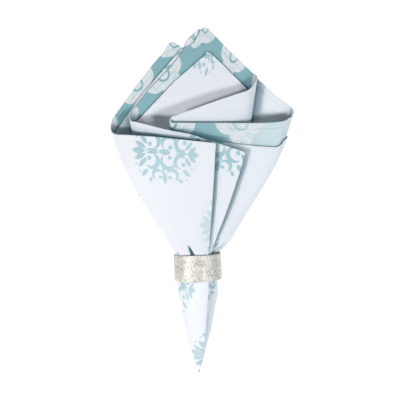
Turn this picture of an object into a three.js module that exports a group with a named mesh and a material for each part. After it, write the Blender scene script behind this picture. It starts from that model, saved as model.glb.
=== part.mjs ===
// A square cloth napkin, folded in quarters, stood on its closed corner and rolled into a cone inside a plain
// metal ring. It lies on its back: the closed corner points to -Y, the open corners to +Y, and the two wings
// of the cone are folded to the front, which faces +Z. All sizes are in millimetres.
import * as THREE from 'three';

// Driving dimensions. Along Y they are measured from the closed corner, the tip of the cone.
const SHEET = 1.0;                 // thickness of one layer of cloth with its hem
const LAYER_GAP = 0.4;             // air between two layers that lie on each other
const PITCH = SHEET + LAYER_GAP;
const RING_OUTSIDE = 46.8;         // diameter over the metal
const RING_WALL = 1.2;
const RING_HEIGHT = 25.4;
const RING_SIDES = 72;
const RING_CHAMFER = 0.4;
const RING_LEAN = 2.5;             // degrees, the ring sits a little askew on the cone
const RING_PLACE = { x: -2.2, y: 109.4 };
const GRIP_TOP = 122.6;            // where the cloth leaves the ring at its open side
const FUSED_TIP = 50;              // under this height the rolled layers are pressed into one
const DIVE = { depth: 7.1, to: 402 };  // the right wing is wholly under the left one from this angle, in degrees

// The ring lies with one of its narrow faces flat on the surface.
const ringAxisHeight = RING_OUTSIDE / 2 * Math.cos(Math.PI / RING_SIDES);

// The rolled part, from the tip to the ring: outside radius of the cloth, the middle of its roll, and the
// angle at which the right wing starts to go under the left one.
const ROLL = [
  { y: 0, radius: 0.2, x: 0.9, z: 7, dive: 318 },
  { y: 4, radius: 1.8, x: 0.9, z: 7.6, dive: 318 },
  { y: 15, radius: 5.2, x: 0.8, z: 9.6, dive: 318 },
  { y: 30, radius: 9.3, x: 0.3, z: 12.6, dive: 318 },
  { y: 42, radius: 12.3, x: -0.3, z: 14.8, dive: 318 },
  { y: 60, radius: 15.7, x: -1.3, z: 17.6, dive: 320 },
  { y: 80, radius: 18.9, x: -1.7, z: 20.8, dive: 328 },
  { y: 96.5, radius: 20.7, x: -1.9, z: 23, dive: 336 },
  { y: 109.4, radius: 21.4, x: -2.2, z: ringAxisHeight, dive: 338 },
  { y: GRIP_TOP, radius: 21.8, x: -2.75, z: ringAxisHeight, dive: 338 },
];

// How far the cloth has opened from its shape in the ring (0) to its shape at the mouth (1).
const SPREAD = [
  { y: GRIP_TOP, left: 0, right: 0, height: 0 },
  { y: 129, left: 0.07, right: 0.16, height: 0.15 },
  { y: 136, left: 0.14, right: 0.28, height: 0.36 },
  { y: 149.5, left: 0.285, right: 0.41, height: 0.66 },
  { y: 171.8, left: 0.51, right: 0.58, height: 0.93 },
  { y: 190, left: 0.67, right: 0.71, height: 1 },
  { y: 208.2, left: 0.82, right: 0.83, height: 1 },
  { y: 241.8, left: 1, right: 1, height: 1 },
  { y: 300, left: 1.22, right: 1.24, height: 1 },
  { y: 352, left: 1.4, right: 1.44, height: 1 },
];

// Each pair of layers lies together all the way round. A row is one line of the cloth that runs from the
// tip to the hem: its angle in the ring, and where it stands at the mouth of the cone.
const OUTER_PAIR = [
  { line: 'left wing edge', angle: 61, x: 14.6, z: 39.3 },
  { line: 'left wing middle', angle: 92, x: -20, z: 38.8 },
  { line: 'left wing outside', angle: 122, x: -56, z: 34 },
  { line: 'left fold top', angle: 150, x: -79, z: 24 },
  { line: 'left fold', angle: 178, x: -87.6, z: 11 },
  { line: 'left fold bottom', angle: 204, x: -83, z: 3.4 },
  { line: 'back left', angle: 228, x: -68, z: 1.2 },
  { line: 'back middle left', angle: 256, x: -24, z: 1.2 },
  { line: 'back middle right', angle: 286, x: 24, z: 1.2 },
  { line: 'back right', angle: 312, x: 70, z: 1.2 },
  { line: 'right fold bottom', angle: 335, x: 84, z: 3.4 },
  { line: 'right fold', angle: 358, x: 88, z: 11.5 },
  { line: 'right fold top', angle: 380, x: 78, z: 22 },
  { line: 'right wing outside', angle: 404, x: 52, z: 27.2 },
  { line: 'right wing middle', angle: 448, x: 12, z: 28 },
  { line: 'right wing edge', angle: 492, x: -27, z: 27.6 },
];
const INNER_PAIR = [
  { line: 'left wing edge', angle: 47, x: 40.5, z: 34.2 },
  { line: 'left wing middle', angle: 80, x: 5, z: 34 },
  { line: 'left wing outside', angle: 114, x: -34, z: 30.5 },
  { line: 'left fold top', angle: 146, x: -60, z: 22 },
  { line: 'left fold', angle: 177, x: -67, z: 12 },
  { line: 'left fold bottom', angle: 204, x: -63, z: 5.6 },
  { line: 'back left', angle: 228, x: -50, z: 4 },
  { line: 'back middle left', angle: 256, x: -16, z: 4 },
  { line: 'back middle right', angle: 286, x: 18, z: 4 },
  { line: 'back right', angle: 312, x: 38, z: 4 },
  { line: 'right fold bottom', angle: 335, x: 46, z: 5.6 },
  { line: 'right fold', angle: 358, x: 48.5, z: 11 },
  { line: 'right fold top', angle: 380, x: 43, z: 18.6 },
  { line: 'right wing outside', angle: 404, x: 28, z: 22.2 },
  { line: 'right wing middle', angle: 448, x: 2, z: 22.8 },
  { line: 'right wing edge', angle: 492, x: -27, z: 22.8 },
];
const LAST_LINE = OUTER_PAIR.length - 1;
const LEFT_FOLD_LINES = { from: 3.2, to: 5 };    // the hem turns from a wing to the back between these lines
const RIGHT_FOLD_LINES = { from: 10.2, to: 12 };
const COLUMNS_BETWEEN_LINES = [2, 2, 2, 3, 3, 2, 2, 2, 2, 2, 3, 3, 2, 2, 2];

// The four quarters of the napkin. side is +1 for the outer layer of its pair and -1 for the inner one,
// and each hem is given as x, y where it crosses the left wing, the back and the right wing.
const QUARTERS = {
  frontLeft: {
    pair: OUTER_PAIR, depth: 0, side: 1,
    leftHem: [[-84, 239.1], [15.5, 228.7]],
    backHem: [[-93, 250], [-87, 260.4], [-67.6, 287.7], [-47.4, 313.7], [-38.3, 324.1], [-31.2, 334.5],
      [-27.3, 335.8], [-22.1, 332.6], [84, 240]],
    rightHem: [[-27, 237], [40.7, 228.5], [59.2, 227], [77, 226.4], [81.6, 228.5], [83, 233]],
  },
  backLeft: {
    pair: OUTER_PAIR, depth: 0, side: -1,
    leftHem: [[-84, 237.6], [15.5, 228.7]],
    backHem: [[-88, 240], [-63.1, 276.5], [-36.9, 307.6], [-16.3, 330.9], [-14.2, 336.6], [-2.2, 348.5],
      [0.5, 347.5], [56.5, 299.9], [77.8, 280.1], [89.3, 271.8], [95, 265.6], [96.5, 261.4]],
    rightHem: [[-27, 250.1], [48.4, 249.6], [70.4, 250.4], [79.3, 251.8], [87.8, 253.1]],
  },
  backRight: {
    pair: INNER_PAIR, depth: 2 * PITCH, side: 1,
    leftHem: [[-65.1, 252], [-33.8, 242.8], [-9.7, 238.2], [21.6, 227.9], [42.5, 221.1]],
    backHem: [[-68.6, 264.7], [-51.2, 287.3], [-27.8, 311.3], [-15.2, 328.5], [-6.4, 333.9], [0.3, 345.7],
      [2.3, 349.2], [5.5, 349.7], [9.6, 347.2], [28.8, 327], [55.7, 301.1]],
    rightHem: [[-37.3, 252.4], [-16.2, 260.4], [19.6, 273.1], [47.2, 282.6], [56, 290]],
  },
  frontRight: {
    pair: INNER_PAIR, depth: 2 * PITCH, side: -1,
    leftHem: [[-65.1, 247], [-33.8, 239], [42.5, 221.1]],
    backHem: [[-63.9, 254.1], [-25.1, 295.3], [-12.2, 306.3], [5.1, 321.6], [7.1, 324.6], [11.1, 323.1],
      [24.1, 310.5], [46.3, 288.3], [56, 279]],
    rightHem: [[-27, 247], [47, 270], [54, 276]],
  },
};

// Rows of points: at level heights as far as the cloth still opens fast, then by their share of the way to
// the hem. The fused tip has rows of its own.
const LEVEL_ROWS = [
  FUSED_TIP, 80, GRIP_TOP, 125, 127.4, 129.8, 133, 137, 142.5, 149.5, 160, 171.8, 190, 208.2,
];
const HEM_ROWS = [0.4, 0.7, 1];
const TIP_ROWS = [0, 4, 15, 30];

const ease = (share) => THREE.MathUtils.smoothstep(share, 0, 1);

// Value of a named column at height y, straight between the rows of a table.
function rowAt(table, y, column) {
  const next = table.findIndex((row) => row.y >= y);
  if (next < 0) return table.at(-1)[column];
  if (next === 0) return table[0][column];
  const share = (y - table[next - 1].y) / (table[next].y - table[next - 1].y);
  return THREE.MathUtils.lerp(table[next - 1][column], table[next][column], share);
}

// Smooth curve through one column of a pair's table, at a line number that need not be whole.
function alongLines(pair, column, line) {
  const first = Math.min(Math.floor(line), LAST_LINE - 1);
  const f = line - first;
  const value = (i) => pair[THREE.MathUtils.clamp(i, 0, LAST_LINE)][column];
  const startSlope = (value(first + 1) - value(first - 1)) / 2;
  const endSlope = (value(first + 2) - value(first)) / 2;
  return (2 * f ** 3 - 3 * f ** 2 + 1) * value(first) + (f ** 3 - 2 * f ** 2 + f) * startSlope
    + (-2 * f ** 3 + 3 * f ** 2) * value(first + 1) + (f ** 3 - f ** 2) * endSlope;
}

// Unit direction from a to b, and the direction that is on the right-hand side of it.
function directionOf(a, b) {
  return b.clone().sub(a).normalize();
}
function rightOf(direction) {
  return new THREE.Vector2(direction.y, -direction.x);
}

// Point of the rolled cloth, in the XZ plane at height y, at an angle and a depth under its outside.
function rollPoint(angle, y, depth) {
  const middle = new THREE.Vector2(rowAt(ROLL, y, 'x'), rowAt(ROLL, y, 'z'));
  const diveFrom = rowAt(ROLL, y, 'dive');
  const at = (degrees) => {
    const dive = DIVE.depth * ease((degrees - diveFrom) / (DIVE.to - diveFrom));
    const turn = THREE.MathUtils.degToRad(degrees);
    const radius = rowAt(ROLL, y, 'radius') - dive;
    return new THREE.Vector2(Math.cos(turn), Math.sin(turn)).multiplyScalar(radius).add(middle);
  };
  const outwards = rightOf(directionOf(at(angle - 0.5), at(angle + 0.5)));
  return at(angle).addScaledVector(outwards, -depth);
}

// Point of the surface midway between the two layers of a pair, in the XZ plane at height y.
function pairPoint(quarter, line, y) {
  const depth = PITCH / 2 + SHEET / 2 + quarter.depth;
  const rolled = rollPoint(alongLines(quarter.pair, 'angle', line), Math.min(y, GRIP_TOP), depth);
  if (y <= GRIP_TOP) return rolled;
  const toRight = ease((line - 5.5) / 4);
  const across = THREE.MathUtils.lerp(rowAt(SPREAD, y, 'left'), rowAt(SPREAD, y, 'right'), toRight);
  const x = THREE.MathUtils.lerp(rolled.x, alongLines(quarter.pair, 'x', line), across);
  const z = THREE.MathUtils.lerp(rolled.y, alongLines(quarter.pair, 'z', line), rowAt(SPREAD, y, 'height'));
  return new THREE.Vector2(x, Math.max(z, depth));
}

// Middle of one layer of cloth at a line and height, with the direction in which the line number grows.
function layerPoint(quarter, line, y) {
  const before = pairPoint(quarter, Math.max(line - 0.02, 0), y);
  const after = pairPoint(quarter, Math.min(line + 0.02, LAST_LINE), y);
  const direction = directionOf(before, after);
  const place = pairPoint(quarter, line, y).addScaledVector(rightOf(direction), quarter.side * PITCH / 2);
  return { place, direction };
}

// Height of a hem at x, straight between its points.
function hemAt(hem, x) {
  const next = hem.findIndex((point) => point[0] >= x);
  if (next < 0) return hem.at(-1)[1];
  if (next === 0) return hem[0][1];
  const share = (x - hem[next - 1][0]) / (hem[next][0] - hem[next - 1][0]);
  return THREE.MathUtils.lerp(hem[next - 1][1], hem[next][1], share);
}

// Height at which a line of a quarter reaches its hem.
function lineEnd(quarter, line) {
  const meet = (hem) => {
    let y = 240;
    for (let step = 0; step < 30; step++) {
      y = (y + hemAt(hem, layerPoint(quarter, line, y).place.x)) / 2;
    }
    return y;
  };
  const { from: leftFrom, to: leftTo } = LEFT_FOLD_LINES;
  const { from: rightFrom, to: rightTo } = RIGHT_FOLD_LINES;
  if (line <= leftFrom) return meet(quarter.leftHem);
  if (line >= rightTo) return meet(quarter.rightHem);
  const back = meet(quarter.backHem);
  const atLeft = 1 - ease((line - leftFrom) / (leftTo - leftFrom));
  const atRight = ease((line - rightFrom) / (rightTo - rightFrom));
  if (atLeft > 0) return THREE.MathUtils.lerp(back, meet(quarter.leftHem), atLeft);
  return THREE.MathUtils.lerp(back, meet(quarter.rightHem), atRight);
}

// Line number whose cloth passes through a point of the back hem.
function lineThrough(quarter, [x, y]) {
  let low = LEFT_FOLD_LINES.to;
  let high = RIGHT_FOLD_LINES.from;
  for (let step = 0; step < 30; step++) {
    const middle = (low + high) / 2;
    if (layerPoint(quarter, middle, y).place.x < x) low = middle;
    else high = middle;
  }
  return (low + high) / 2;
}

// Line numbers at which a quarter has a column of points: evenly between the named lines, and one at each
// bend of the back hem.
function columnLines(quarter, extraLine) {
  const bends = quarter.backHem.slice(1, -1).map((point) => lineThrough(quarter, point));
  bends.push(extraLine);
  const even = COLUMNS_BETWEEN_LINES.flatMap((count, line) => (
    Array.from({ length: count }, (_, i) => line + i / count)));
  even.push(LAST_LINE);
  const clear = even.filter((line) => (
    line === 0 || line === LAST_LINE || bends.every((bend) => Math.abs(bend - line) > 0.2)));
  return [...clear, ...bends].sort((a, b) => a - b).filter((line, i, all) => i === 0 || line - all[i - 1] > 0.03);
}

// Columns of one quarter, in the direction of travel round the closed loop of cloth.
function quarterColumns(quarter, travel, extraLine) {
  const lines = columnLines(quarter, extraLine);
  if (travel < 0) lines.reverse();
  return lines.map((line) => ({
    line,
    end: lineEnd(quarter, line),
    at: (y) => {
      const { place, direction } = layerPoint(quarter, line, y);
      return { place, outwards: rightOf(direction).multiplyScalar(travel) };
    },
  }));
}

// Columns of a fold that joins two quarters along a wing's edge: half a circle in each section.
function foldColumns(from, to, line, count) {
  const out = line === 0 ? -1 : 1;
  const ends = [lineEnd(from, line), lineEnd(to, line)];
  return Array.from({ length: count }, (_, i) => {
    const share = (i + 1) / (count + 1);
    const turn = Math.PI * share;
    return {
      line,
      end: THREE.MathUtils.lerp(ends[0], ends[1], share),
      at: (y) => {
        const first = layerPoint(from, line, y);
        const last = layerPoint(to, line, y);
        const middle = first.place.clone().add(last.place).multiplyScalar(0.5);
        const half = first.place.clone().sub(middle);
        const stand = first.direction.clone().add(last.direction).normalize()
          .multiplyScalar(out * half.length());
        const place = middle.addScaledVector(half, Math.cos(turn)).addScaledVector(stand, Math.sin(turn));
        const travel = stand.multiplyScalar(Math.cos(turn)).addScaledVector(half, -Math.sin(turn)).normalize();
        return { place, outwards: rightOf(travel) };
      },
    };
  });
}

// The whole closed loop of cloth: four quarters and the four folds that join them.
const DIVE_LINE = 12.8;        // the front left quarter goes under the left wing here
const COVERED_LINE = 0.45;     // the back right quarter goes under the wing's outer edge here
const NARROW_FOLD = 3;
const WIDE_FOLD = 5;
function clothLoop() {
  const { frontLeft, backLeft, backRight, frontRight } = QUARTERS;
  const parts = [
    quarterColumns(frontLeft, 1, DIVE_LINE),
    foldColumns(frontLeft, frontRight, LAST_LINE, WIDE_FOLD),
    quarterColumns(frontRight, -1, COVERED_LINE),
    foldColumns(frontRight, backRight, 0, NARROW_FOLD),
    quarterColumns(backRight, 1, COVERED_LINE),
    foldColumns(backRight, backLeft, LAST_LINE, NARROW_FOLD),
    quarterColumns(backLeft, -1, COVERED_LINE),
    foldColumns(backLeft, frontLeft, 0, NARROW_FOLD),
  ];
  const starts = parts.map((_, i) => parts.slice(0, i).reduce((sum, part) => sum + part.length, 0));
  const find = (i, line) => starts[i] + parts[i].findIndex((column) => column.line === line);
  return {
    columns: parts.flat(),
    dive: find(0, DIVE_LINE),
    innerEdge: starts[3] + Math.floor(NARROW_FOLD / 2),
    covered: find(4, COVERED_LINE),
    outerEdge: starts[7] - 1,
  };
}

// Builds triangles from rows of points.
class MeshMaker {
  constructor() {
    this.points = [];
    this.triangles = [];
  }

  add(x, y, z) {
    this.points.push(x, y, z);
    return this.points.length / 3 - 1;
  }

  face(a, b, c) {
    this.triangles.push(a, b, c);
  }

  // Two triangles between two rows, seen with its front to the right of a traveller from a to b.
  quad(a, b, aboveB, aboveA) {
    this.face(a, aboveA, aboveB);
    this.face(a, aboveB, b);
  }

  // Level cap that looks towards +Y, over a simple outline of points at one height.
  cap(outline) {
    const flat = outline.map((i) => new THREE.Vector2(this.points[3 * i], this.points[3 * i + 2]));
    for (const [a, b, c] of THREE.ShapeUtils.triangulateShape(flat, [])) {
      const corners = [flat[a], flat[b], flat[c]];
      const clockwise = THREE.ShapeUtils.isClockWise(corners);
      const order = clockwise ? [a, b, c] : [a, c, b];
      this.face(...order.map((i) => outline[i]));
    }
  }

  geometry() {
    const geometry = new THREE.BufferGeometry();
    geometry.setAttribute('position', new THREE.Float32BufferAttribute(this.points, 3));
    geometry.setIndex(this.triangles);
    geometry.computeVertexNormals();
    return geometry;
  }
}

function napkinGeometry() {
  const { columns, dive, innerEdge, covered, outerEdge } = clothLoop();
  const maker = new MeshMaker();
  const count = columns.length;
  const heights = columns.map((column) => [
    ...LEVEL_ROWS,
    ...HEM_ROWS.map((share) => THREE.MathUtils.lerp(LEVEL_ROWS.at(-1), column.end, share)),
  ]);
  const rowCount = heights[0].length;

  // The two faces of the sheet, row by row: the printed face is outside the loop.
  const face = (side) => Array.from({ length: rowCount }, (_, row) => columns.map((column, i) => {
    const y = heights[i][row];
    const { place, outwards } = column.at(y);
    const point = place.clone().addScaledVector(outwards, side * SHEET / 2);
    return maker.add(point.x, y, point.y);
  }));
  const printed = face(1);
  const reverse = face(-1);
  for (let row = 0; row < rowCount - 1; row++) {
    for (let i = 0; i < count; i++) {
      const next = (i + 1) % count;
      maker.quad(printed[row][i], printed[row][next], printed[row + 1][next], printed[row + 1][i]);
      maker.quad(reverse[row][next], reverse[row][i], reverse[row + 1][i], reverse[row + 1][next]);
    }
  }

  // The hem joins the two faces.
  const printedHem = printed.at(-1);
  const reverseHem = reverse.at(-1);
  for (let i = 0; i < count; i++) {
    const next = (i + 1) % count;
    maker.quad(printedHem[i], printedHem[next], reverseHem[next], reverseHem[i]);
  }

  // Where the tip is fused, the spaces between the layers end in level caps.
  const range = (from, to) => Array.from({ length: to - from + 1 }, (_, i) => from + i);
  const bottom = printed[0];
  maker.cap(range(dive, innerEdge).map((i) => bottom[i]));
  maker.cap(range(covered, outerEdge).map((i) => bottom[i]));
  maker.cap(reverse[0]);

  // The fused tip shrinks from the outline of the roll to the closed corner.
  const outline = [...range(innerEdge, covered), ...range(outerEdge, count - 1), ...range(0, dive)];
  const rollAt = (y) => new THREE.Vector3(rowAt(ROLL, y, 'x'), y, rowAt(ROLL, y, 'z'));
  const fusedMiddle = rollAt(FUSED_TIP);
  const shrunk = (vertex, y) => {
    const share = rowAt(ROLL, y, 'radius') / rowAt(ROLL, FUSED_TIP, 'radius');
    const point = new THREE.Vector3().fromArray(maker.points, 3 * vertex).sub(fusedMiddle);
    return point.multiplyScalar(share).setY(0).add(rollAt(y));
  };
  let above = outline.map((i) => bottom[i]);
  for (const y of TIP_ROWS.slice(1).reverse()) {
    const below = outline.map((i) => maker.add(...shrunk(bottom[i], y)));
    below.forEach((vertex, i) => {
      const next = (i + 1) % below.length;
      maker.quad(vertex, below[next], above[next], above[i]);
    });
    above = below;
  }
  const corner = maker.add(...rollAt(TIP_ROWS[0]));
  above.forEach((vertex, i) => maker.face(corner, vertex, above[(i + 1) % above.length]));
  return maker.geometry();
}

function ringGeometry() {
  const outside = RING_OUTSIDE / 2;
  const inside = outside - RING_WALL;
  const end = RING_HEIGHT / 2;
  const profile = [
    [inside, -end + RING_CHAMFER], [inside + RING_CHAMFER, -end], [outside - RING_CHAMFER, -end],
    [outside, -end + RING_CHAMFER], [outside, end - RING_CHAMFER], [outside - RING_CHAMFER, end],
    [inside + RING_CHAMFER, end], [inside, end - RING_CHAMFER], [inside, -end + RING_CHAMFER],
  ].map(([radius, height]) => new THREE.Vector2(radius, height));
  return new THREE.LatheGeometry(profile, RING_SIDES, Math.PI / RING_SIDES);
}

const cloth = new THREE.MeshStandardMaterial({ name: 'cloth', color: 0xedf0f4, roughness: 0.85, metalness: 0 });
const metal = new THREE.MeshStandardMaterial({ name: 'metal', color: 0xc3bfb6, roughness: 0.38, metalness: 1 });

const napkin = new THREE.Mesh(napkinGeometry(), cloth);
napkin.name = 'napkin';

const ring = new THREE.Mesh(ringGeometry(), metal);
ring.name = 'ring';
ring.position.set(RING_PLACE.x, RING_PLACE.y, ringAxisHeight);
ring.rotation.z = THREE.MathUtils.degToRad(RING_LEAN);

// The origin is on the surface, under the middle of the napkin's length and width.
const napkinInRing = new THREE.Group();
napkinInRing.add(napkin, ring);
const box = new THREE.Box3().setFromObject(napkinInRing, true);
const middle = box.getCenter(new THREE.Vector3());
napkinInRing.position.set(-middle.x, -middle.y, 0);

export default napkinInRing;
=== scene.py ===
"""A square cloth napkin, folded in quarters, rolled into an open cone inside a hammered silver ring.

It lies on its back on a pale table. Sizes in the tables are in millimetres, in the napkin's own frame: the
closed corner, the tip of the cone, is at Y = 0, X runs to the right and Z stands up from the table.
"""
import math

import bmesh
import bpy
import numpy as np
from mathutils import Matrix, Vector


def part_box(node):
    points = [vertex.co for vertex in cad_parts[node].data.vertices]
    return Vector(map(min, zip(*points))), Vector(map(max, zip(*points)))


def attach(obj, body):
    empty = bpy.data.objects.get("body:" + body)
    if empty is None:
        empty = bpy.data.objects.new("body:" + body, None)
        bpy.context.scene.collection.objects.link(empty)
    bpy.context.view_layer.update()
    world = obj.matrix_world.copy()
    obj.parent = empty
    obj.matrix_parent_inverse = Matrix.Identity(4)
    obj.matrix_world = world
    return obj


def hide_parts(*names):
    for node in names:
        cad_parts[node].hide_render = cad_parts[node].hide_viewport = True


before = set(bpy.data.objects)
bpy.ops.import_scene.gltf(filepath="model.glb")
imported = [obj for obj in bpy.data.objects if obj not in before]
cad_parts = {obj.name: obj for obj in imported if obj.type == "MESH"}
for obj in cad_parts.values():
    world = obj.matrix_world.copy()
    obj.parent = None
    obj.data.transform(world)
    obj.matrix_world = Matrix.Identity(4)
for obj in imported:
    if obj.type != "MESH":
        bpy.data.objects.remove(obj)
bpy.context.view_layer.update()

# ---- Sizes of the ring and of the roll of cloth in it ----
RING_OUTSIDE = 46.8
RING_WALL = 1.2
RING_HEIGHT = 25.4
RING_SIDES = 192
RING_ROUND, RING_ROUND_STEPS = 0.45, 3
RING_WALL_CUTS = 23
RING_LEAN = 2.5                       # degrees
RING_X, RING_Y = -2.2, 109.4
RING_AXIS_Z = RING_OUTSIDE / 2 * math.cos(math.pi / 72)
GRIP_TOP = 122.6                      # where the cloth leaves the ring
FUSED_TIP = 50.0                      # under this height the layers are pressed together
PITCH = 1.4                           # from one layer of cloth to the next
LAYER_ROOM = 1.0                      # the most that one layer with its hem takes up
CLOTH = 0.62                          # thickness of the cloth
HEM = 0.42                            # what the turned hem adds
HEM_WIDTH = 6.5
HEM_EASE = 1.2                        # the hem's extra thickness ends over this width
DIVE_DEPTH, DIVE_TO = 7.1, 402.0      # the right wing goes under the left one in the roll
FLAT_SIDE = 500.0                     # the napkin's side when it lies open

# The table's X and Y of the napkin's own frame, from where the ring and the tip are in the model.
ring_low, ring_high = (Vector(corner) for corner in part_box("ring"))
napkin_low, napkin_high = (Vector(corner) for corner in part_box("napkin"))
SHIFT_X = 500 * (ring_low.x + ring_high.x) - RING_X
SHIFT_Y = 1000 * napkin_low.y

# From the tip to the ring: outside radius of the cloth, middle of the roll, and the angle where the right
# wing starts to go under the left one.
ROLL = dict(
    y=[0, 4, 15, 30, 42, 60, 80, 96.5, 109.4, GRIP_TOP],
    radius=[0.2, 1.8, 5.2, 9.3, 12.3, 15.7, 18.9, 20.7, 21.4, 21.8],
    x=[0.9, 0.9, 0.8, 0.3, -0.3, -1.3, -1.7, -1.9, -2.2, -2.75],
    z=[7, 7.6, 9.6, 12.6, 14.8, 17.6, 20.8, 23, RING_AXIS_Z, RING_AXIS_Z],
    dive=[318, 318, 318, 318, 318, 320, 328, 336, 338, 338],
)
# How far the cloth has opened from its shape in the ring (0) to its shape at the mouth (1).
SPREAD = dict(
    y=[GRIP_TOP, 129, 136, 149.5, 171.8, 190, 208.2, 241.8, 300, 352],
    left=[0, 0.07, 0.14, 0.285, 0.51, 0.67, 0.82, 1, 1.22, 1.4],
    right=[0, 0.16, 0.28, 0.41, 0.58, 0.71, 0.83, 1, 1.24, 1.44],
    height=[0, 0.15, 0.36, 0.66, 0.93, 1, 1, 1, 1, 1],
)
# Lines of the cloth from the left wing's edge (0) round the back to the right wing's edge (15): the angle
# of each in the ring, and where it stands at the mouth. The inner pair's left edge stands 6 mm further
# right than the solid's, as in the photograph.
OUTER_PAIR = dict(
    angle=[61, 92, 122, 150, 178, 204, 228, 256, 286, 312, 335, 358, 380, 404, 448, 492],
    x=[14.6, -20, -56, -79, -87.6, -83, -68, -24, 24, 70, 84, 88, 78, 52, 12, -27],
    z=[39.3, 38.8, 34, 24, 11, 3.4, 1.2, 1.2, 1.2, 1.2, 3.4, 11.5, 22, 27.2, 28, 27.6],
    depth=0.0,
)
INNER_PAIR = dict(
    angle=[47, 80, 114, 146, 177, 204, 228, 256, 286, 312, 335, 358, 380, 404, 448, 492],
    x=[46.5, 5, -34, -60, -67, -63, -50, -16, 18, 38, 46, 48.5, 43, 28, 2, -27],
    z=[34.2, 34, 30.5, 22, 12, 5.6, 4, 4, 4, 4, 5.6, 11, 18.6, 22.2, 22.8, 22.8],
    depth=2 * PITCH,
)
LAST_LINE = 15
LEFT_FOLD_LINES = (3.2, 5.0)
RIGHT_FOLD_LINES = (10.2, 12.0)
BACK_FROM, BACK_LINES = 5.5, 4        # over these lines the left side's spread goes over to the right's
LINE_STEP = 0.02                      # to either side of a line, for the direction there

# The four quarters: side is +1 for the outer layer of its pair. Each hem is given as X, Y where it crosses
# the left wing, the back and the right wing. steps is the number of columns from each line to the next.
FRONT_LEFT = dict(
    pair=OUTER_PAIR, side=1, steps=[7, 7, 7, 8, 8, 6, 5, 7, 7, 5, 7, 7, 6, 4, 3],
    left=[(-84, 239.1), (-50, 235.9), (15.5, 228.7)],
    back=[(-93, 250), (-87, 260.4), (-67.6, 287.7), (-47.4, 313.7), (-38.3, 324.1), (-33.5, 331.6),
          (-30.2, 335.2), (-27.3, 335.8), (-22.1, 332.6), (84, 240)],
    right=[(-27, 237), (40.7, 228.5), (59.2, 227), (77, 226.4), (81.6, 228.5), (83, 233)],
)
BACK_LEFT = dict(
    pair=OUTER_PAIR, side=-1, steps=[7, 7, 7, 8, 8, 6, 5, 7, 7, 5, 7, 7, 8, 7, 4],
    left=[(-84, 237.6), (15.5, 228.7)],
    back=[(-88, 240), (-63.1, 276.5), (-36.9, 307.6), (-16.3, 330.9), (-14.2, 336.6), (-2.2, 348.5),
          (0.5, 347.5), (56.5, 299.9), (77.8, 280.1), (89.3, 271.8), (95, 265.6), (96.5, 261.4)],
    right=[(-27, 250.1), (48.4, 249.6), (70.4, 250.4), (79.3, 251.8), (87.8, 253.1)],
)
BACK_RIGHT = dict(
    pair=INNER_PAIR, side=1, steps=[7, 6, 5, 5, 5, 4, 4, 6, 6, 4, 5, 5, 6, 6, 4],
    left=[(-65.1, 252), (-33.8, 242.8), (-9.7, 238.2), (21.6, 227.9), (42.5, 221.1)],
    back=[(-68.6, 264.7), (-51.2, 287.3), (-27.8, 311.3), (-15.2, 328.5), (-6.4, 333.9), (0.3, 345.7),
          (2.3, 349.2), (5.5, 349.7), (9.6, 347.2), (28.8, 327), (55.7, 301.1)],
    right=[(-37.3, 252.4), (-16.2, 260.4), (19.6, 273.1), (47.2, 282.6), (56, 290)],
)
FRONT_RIGHT = dict(
    pair=INNER_PAIR, side=-1, steps=[5, 5, 5, 5, 5, 4, 4, 7, 7, 5, 5, 5, 4, 3, 3],
    left=[(-65.1, 247), (-33.8, 239), (42.5, 221.1)],
    back=[(-63.9, 254.1), (-25.1, 295.3), (-12.2, 306.3), (5.1, 321.6), (7.1, 324.6), (11.1, 323.1),
          (24.1, 310.5), (46.3, 288.3), (56, 279)],
    right=[(-27, 247), (47, 270), (54, 276)],
)
NARROW_FOLD, WIDE_FOLD = 5, 7         # columns round a fold between two quarters

# Soft creases of the cloth: part of the napkin, where it runs from and to as X, Y, its width, and how high
# it stands (or how deep it goes) at its two ends.
CREASES = [
    ("left wing", (-19, 122), (-49, 171), 5.0, 0.9, 0.0),
    ("left wing", (-10, 122), (-36, 190), 6.0, -0.9, 0.0),
    ("left wing", (2, 122), (-10, 205), 6.0, 0.7, 0.0),
    ("left wing", (-30, 150), (-66, 205), 7.0, 0.8, 0.5),
    ("left wing", (-64, 238), (-30, 190), 9.0, -0.9, 0.2),
    ("left wing", (10, 231), (-2, 170), 8.0, 0.8, 0.1),
    ("left wing", (-38, 236), (-36, 205), 9.0, 0.9, 0.0),
    ("right wing", (14, 122), (45, 172), 5.0, 0.8, 0.0),
    ("right wing", (10, 124), (30, 175), 4.0, -0.7, 0.0),
    ("right wing", (72, 226), (48, 172), 8.0, -0.9, 0.0),
    ("right wing", (20, 252), (26, 205), 10.0, 0.7, 0.0),
    ("right wing", (62, 250), (50, 215), 9.0, -0.6, 0.0),
]
# The wings' lines end and start here, and their creases fade in over the lines and over the height.
LEFT_WING_END, RIGHT_WING_START, WING_FADE = 3.0, 11.6, 1.2
CREASE_FOOT, CREASE_RISE = 118, 14

# The deep pucker where the left wing goes into the ring. Its width is given at its top and its foot; the
# layers under it give way over the width of PUCKER_ROOM.
PUCKER_TOP, PUCKER_FOOT = (-12.2, 133.2), (-6.6, 122.0)
PUCKER_DEPTH, PUCKER_TOP_WIDTH, PUCKER_WIDTH, PUCKER_ROOM = 4.4, 0.5, 1.35, 5.0
PUCKER_STEEP, PUCKER_START, PUCKER_RISE = 1.5, 100, 18
PUCKER_LINES = (1.0, 1.95)
PUCKER_COLUMNS = 20

# Where the searches for the hem and for its bends start, and how often they halve.
HEM_SEARCH_FROM, HEM_ROUNDS, BEND_ROUNDS = 240.0, 30, 25
BEND_ROOM, LEAST_STEP = 0.06, 0.02    # lines between a column and a bend, and between two columns
MOUTH_LEVEL = 232                     # height at which the columns' spacing is measured


# ---- Curves ----
def ease(share):
    share = np.clip(share, 0, 1)
    return share * share * (3 - 2 * share)


def mix(a, b, share):
    return a + (b - a) * share


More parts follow.
